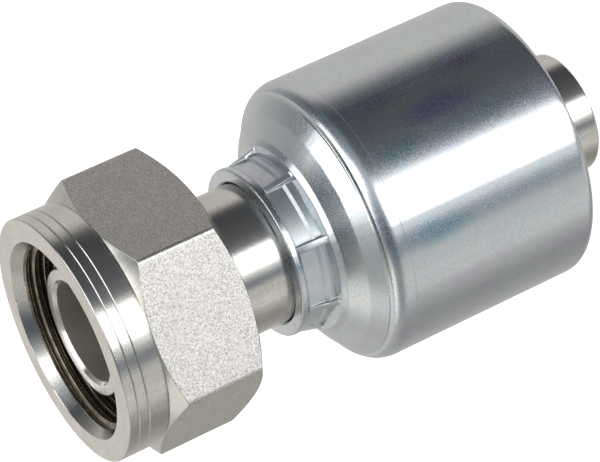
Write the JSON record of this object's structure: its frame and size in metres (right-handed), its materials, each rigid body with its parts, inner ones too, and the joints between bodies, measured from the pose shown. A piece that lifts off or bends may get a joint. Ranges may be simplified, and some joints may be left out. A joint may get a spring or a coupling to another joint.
{
  "type": "hydraulic hose end fitting",
  "caption": "Crimp hose end: a turned stem with a 24 degree cone and a barbed tail, a swivelling hexagon nut, a staked crimp shell and a ring seal.",
  "frame": {"origin": "centre of the hose-tail end face, on which the fitting stands", "axes": "+Z along the bore from the hose tail to the mouth of the nut; +X through a corner of the hexagon"},
  "size_m": [0.0542, 0.0542, 0.1071],
  "materials": {
    "plated_stem": "turned and plated",
    "plated_nut": "plated, fine grain on the flats",
    "zinc_shell": "satin zinc with a faint blue and violet tint",
    "seal_rubber": "matte black"
  },
  "bodies": {
    "hose_end": {"stem": "plated_stem", "crimp_shell": "zinc_shell", "o_ring": "seal_rubber"},
    "nut": {"swivel_nut": "plated_nut"}
  },
  "joints": [
    {"name": "nut_spin", "type": "hinge", "parent": "hose_end", "child": "nut", "pos_m": [0, 0, 0.0842], "axis": [0, 0, 1], "continuous": true}
  ]
}
